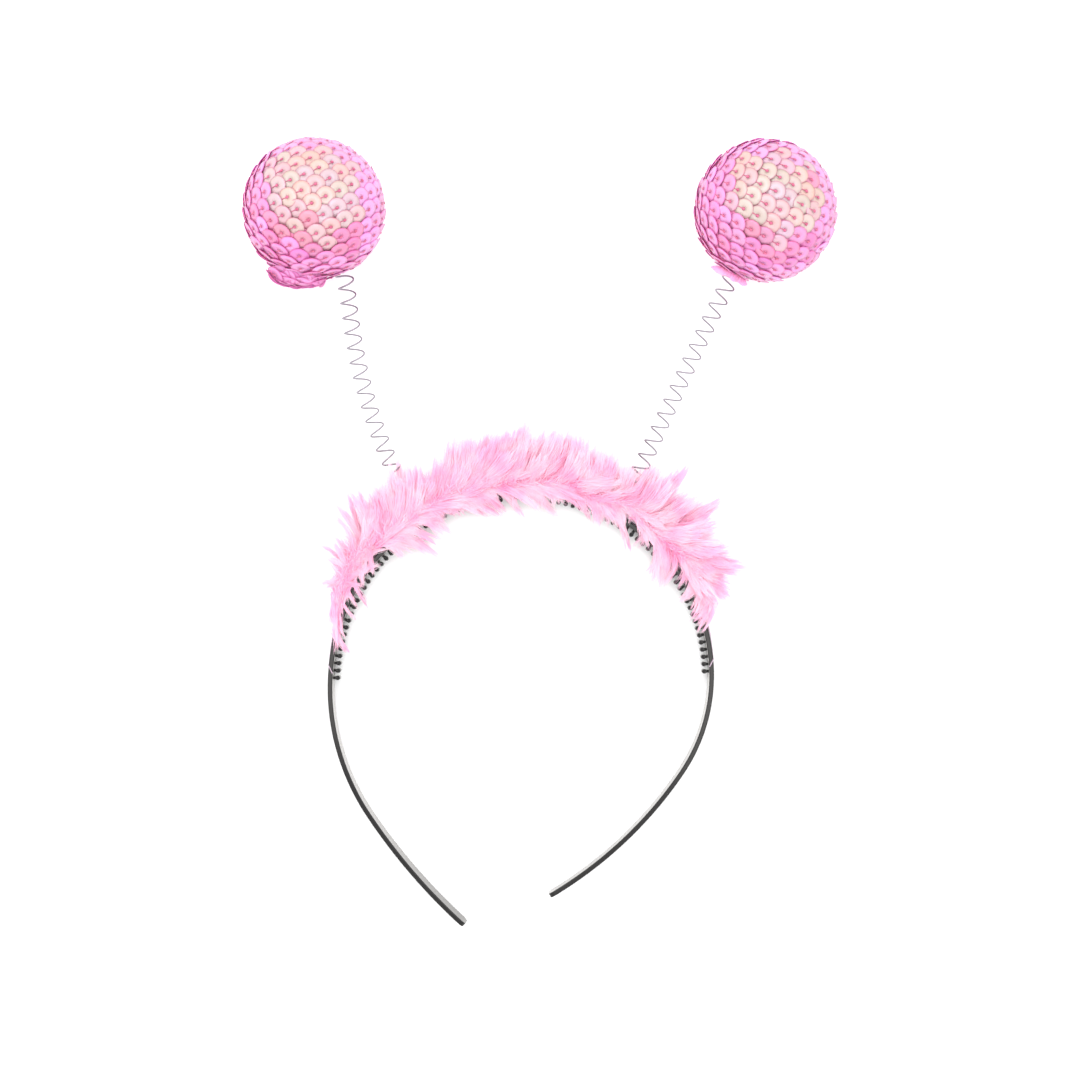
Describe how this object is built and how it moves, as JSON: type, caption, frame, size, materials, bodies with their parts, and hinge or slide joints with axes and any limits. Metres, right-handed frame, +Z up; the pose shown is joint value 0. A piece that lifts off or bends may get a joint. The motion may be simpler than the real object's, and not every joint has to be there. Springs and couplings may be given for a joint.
{
  "type": "costume head bopper",
  "caption": "Plastic headband with inner grip teeth and a feather trim, carrying two sequined balls on coil springs, lying flat.",
  "frame": {"origin": "middle of the surface that the object lies on, under the middle of its bounding box", "axes": "+X to the wearer's side with the straighter spring, +Y from the open tips of the band towards the balls, +Z up from the surface"},
  "size_m": [0.182, 0.2452, 0.0435],
  "materials": {
    "band_plastic": "moulded charcoal plastic with a soft shine and light wear",
    "feather": "soft pink down, paler towards the tips",
    "spring_wire": "thin bright wire",
    "sequined_cover": "overlapping translucent pink sequins with a pearly, iridescent shine",
    "cover_cloth": "pink woven cloth with a frayed edge"
  },
  "bodies": {
    "headband": {"headband": "band_plastic", "feather_trim": "feather", "spring_left": "spring_wire", "spring_right": "spring_wire"},
    "ball_left": {"ball_left": "sequined_cover"},
    "ball_right": {"ball_right": "sequined_cover", "cloth_tuft": "cover_cloth"}
  },
  "joints": [
    {"name": "sway_left", "type": "hinge", "parent": "headband", "child": "ball_left", "pos_m": [-0.05512, 0.04682, 0.00906], "axis": [0, 0, 1], "range_deg": [-40, 40], "stiffness_Nm_per_rad": 0.0055, "deforming": ["spring_left"]},
    {"name": "sway_right", "type": "hinge", "parent": "headband", "child": "ball_right", "pos_m": [0.0438, 0.04813, 0.01206], "axis": [0, 0, 1], "range_deg": [-40, 40], "stiffness_Nm_per_rad": 0.0055, "deforming": ["spring_right"]}
  ]
}
